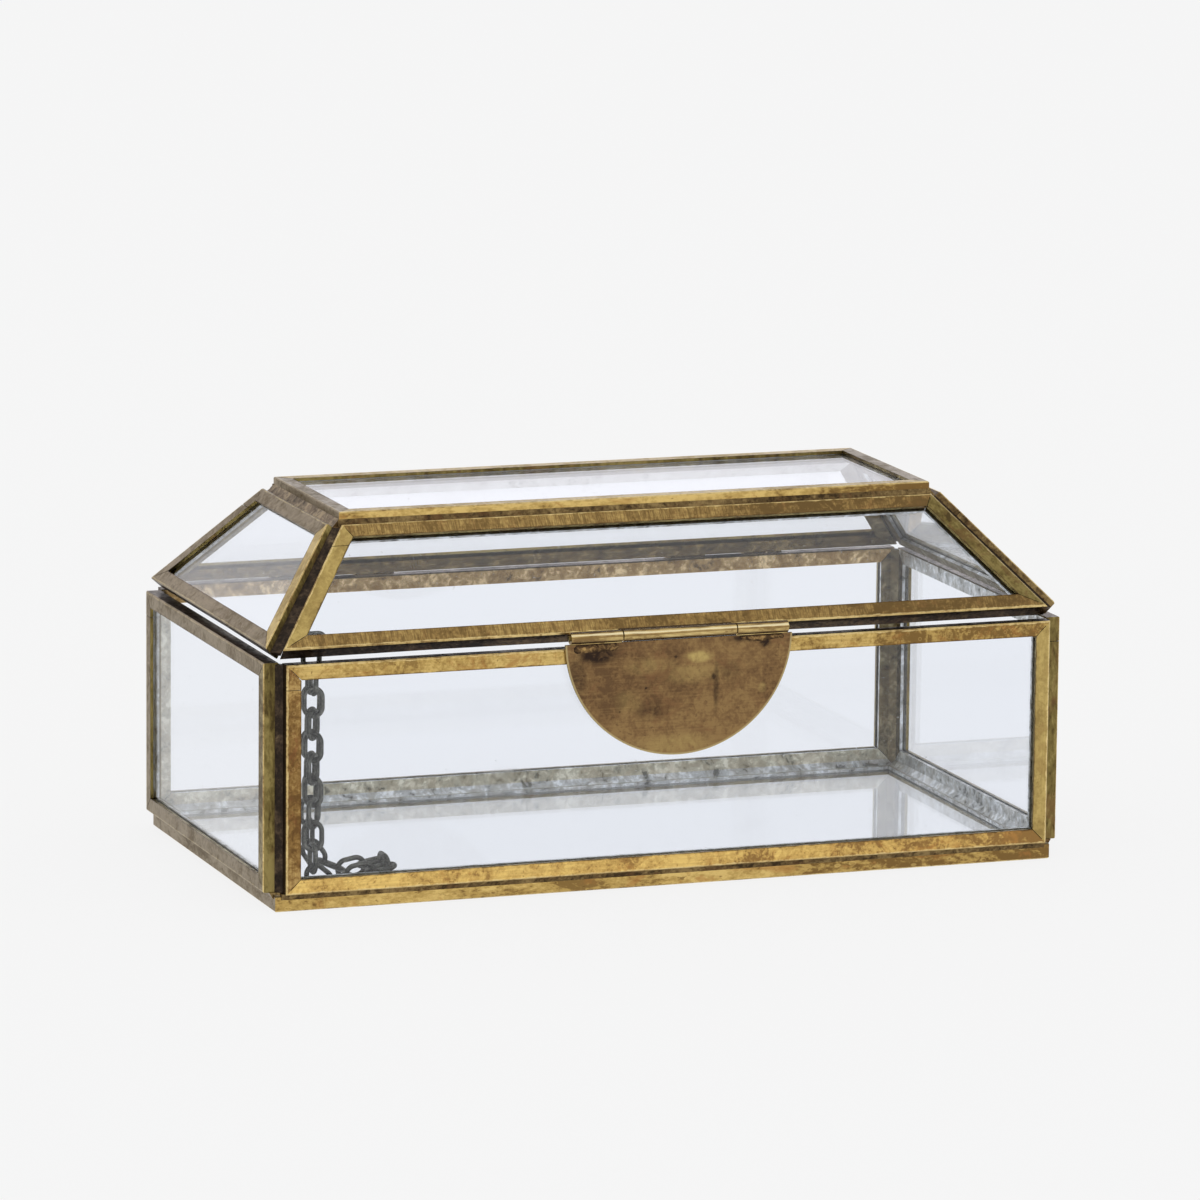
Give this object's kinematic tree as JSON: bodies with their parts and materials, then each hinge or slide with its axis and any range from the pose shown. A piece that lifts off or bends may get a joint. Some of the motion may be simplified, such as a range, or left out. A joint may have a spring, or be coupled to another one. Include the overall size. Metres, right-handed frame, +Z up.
{
  "type": "glass keepsake box",
  "caption": "Clear glass keepsake box in soldered brass channel, with a hipped hinged lid, a half-round clasp flap and a fine lid stay chain.",
  "frame": {"origin": "middle of the base's underside, on the surface the box stands on", "axes": "+X to the box's right, -Y to its front with the clasp, +Z up"},
  "size_m": [0.2, 0.1078, 0.0893],
  "materials": {
    "brass_frame": "aged, brushed, folded channel",
    "brass_tube": "aged",
    "brass_pin": "dull",
    "brass_flap": "aged, mottled",
    "glass": "clear, smooth",
    "solder": "dull grey, uneven",
    "chain": "tarnished grey-green"
  },
  "bodies": {
    "box": {"front_frame": "brass_frame", "back_frame": "brass_frame", "left_frame": "brass_frame", "right_frame": "brass_frame", "base_frame": "brass_frame", "front_glass": "glass", "back_glass": "glass", "left_glass": "glass", "right_glass": "glass", "base_glass": "glass", "box_solder": "solder", "hinge_knuckles_box": "brass_tube", "hinge_pins": "brass_pin", "chain_eye_box": "chain"},
    "lid": {"lid_front_frame": "brass_frame", "lid_back_frame": "brass_frame", "lid_left_frame": "brass_frame", "lid_right_frame": "brass_frame", "lid_top_frame": "brass_frame", "lid_front_glass": "glass", "lid_back_glass": "glass", "lid_left_glass": "glass", "lid_right_glass": "glass", "lid_top_glass": "glass", "lid_solder": "solder", "hinge_knuckles_lid": "brass_tube", "clasp_knuckle_lid": "brass_tube", "chain_eye_lid": "chain"},
    "flap": {"flap_plate": "brass_flap", "flap_knuckles": "brass_tube", "flap_pin": "brass_pin", "flap_solder": "solder"},
    "chain_strand_box": {"link_1": "chain", "link_2": "chain", "link_3": "chain", "link_4": "chain", "link_5": "chain", "link_6": "chain", "link_7": "chain", "link_8": "chain", "link_9": "chain"},
    "chain_bend_1": {"link_10": "chain"},
    "chain_run_1": {"link_11": "chain", "link_12": "chain", "link_13": "chain"},
    "chain_return": {"link_14": "chain"},
    "chain_run_2": {"link_15": "chain", "link_16": "chain"},
    "chain_bend_2": {"link_17": "chain"},
    "chain_bend_3": {"link_18": "chain"},
    "chain_bend_4": {"link_19": "chain"},
    "chain_strand_lid": {"link_20": "chain", "link_21": "chain", "link_22": "chain", "link_23": "chain", "link_24": "chain", "link_25": "chain", "link_26": "chain", "link_27": "chain"}
  },
  "joints": [
    {"name": "lid_hinge", "type": "hinge", "parent": "box", "child": "lid", "pos_m": [0, 0.0525, 0.0603], "axis": [-1, 0, 0], "range_deg": [0, 94.21]},
    {"name": "clasp_hinge", "type": "hinge", "parent": "lid", "child": "flap", "pos_m": [0, -0.0525, 0.0614], "axis": [-1, 0, 0], "range_deg": [0, 222]},
    {"name": "chain_eye_swing", "type": "hinge", "parent": "box", "child": "chain_strand_box", "pos_m": [-0.0873, -0.0452, 0.0559], "axis": [0.9999, -0.0121, 0], "range_deg": [0, 132.01]},
    {"name": "chain_bend_1_turn", "type": "hinge", "parent": "chain_strand_box", "child": "chain_bend_1", "pos_m": [-0.0873, -0.0452, 0.0082], "axis": [0, 1, 0], "range_deg": [0, 50]},
    {"name": "chain_run_1_turn", "type": "hinge", "parent": "chain_bend_1", "child": "chain_run_1", "pos_m": [-0.08424, -0.0452, 0.00563], "axis": [0, 1, 0], "range_deg": [0, 50]},
    {"name": "chain_return_turn", "type": "hinge", "parent": "chain_run_1", "child": "chain_return", "pos_m": [-0.06858, -0.0452, 0.00839], "axis": [0.1736, 0, -0.9848], "range_deg": [0, 90]},
    {"name": "chain_run_2_turn", "type": "hinge", "parent": "chain_return", "child": "chain_run_2", "pos_m": [-0.06858, -0.0386, 0.00839], "axis": [0.1736, 0, -0.9848], "range_deg": [0, 90]},
    {"name": "chain_bend_2_turn", "type": "hinge", "parent": "chain_run_2", "child": "chain_bend_2", "pos_m": [-0.07774, -0.0386, 0.00677], "axis": [0, -1, 0], "range_deg": [0, 33.33]},
    {"name": "chain_bend_3_turn", "type": "hinge", "parent": "chain_bend_2", "child": "chain_bend_3", "pos_m": [-0.0838, -0.0386, 0.00939], "axis": [0, -1, 0], "range_deg": [0, 33.33]},
    {"name": "chain_bend_4_turn", "type": "hinge", "parent": "chain_bend_3", "child": "chain_bend_4", "pos_m": [-0.08599, -0.0386, 0.01273], "axis": [0, -1, 0], "range_deg": [0, 33.33]},
    {"name": "chain_strand_lid_turn", "type": "hinge", "parent": "chain_bend_4", "child": "chain_strand_lid", "pos_m": [-0.08599, -0.0386, 0.01803], "axis": [-1, 0, 0], "range_deg": [0, 2.3]}
  ],
  "couplings": [
    {"joint": "chain_eye_swing", "follows": "lid_hinge", "ratio": 1.4013},
    {"joint": "chain_bend_1_turn", "follows": "lid_hinge", "ratio": 0.53074},
    {"joint": "chain_run_1_turn", "follows": "lid_hinge", "ratio": 0.53074},
    {"joint": "chain_return_turn", "follows": "lid_hinge", "ratio": 0.95533},
    {"joint": "chain_run_2_turn", "follows": "lid_hinge", "ratio": 0.95533},
    {"joint": "chain_bend_2_turn", "follows": "lid_hinge", "ratio": 0.35383},
    {"joint": "chain_bend_3_turn", "follows": "lid_hinge", "ratio": 0.35383},
    {"joint": "chain_bend_4_turn", "follows": "lid_hinge", "ratio": 0.35383},
    {"joint": "chain_strand_lid_turn", "follows": "lid_hinge", "ratio": 0.024414}
  ]
}
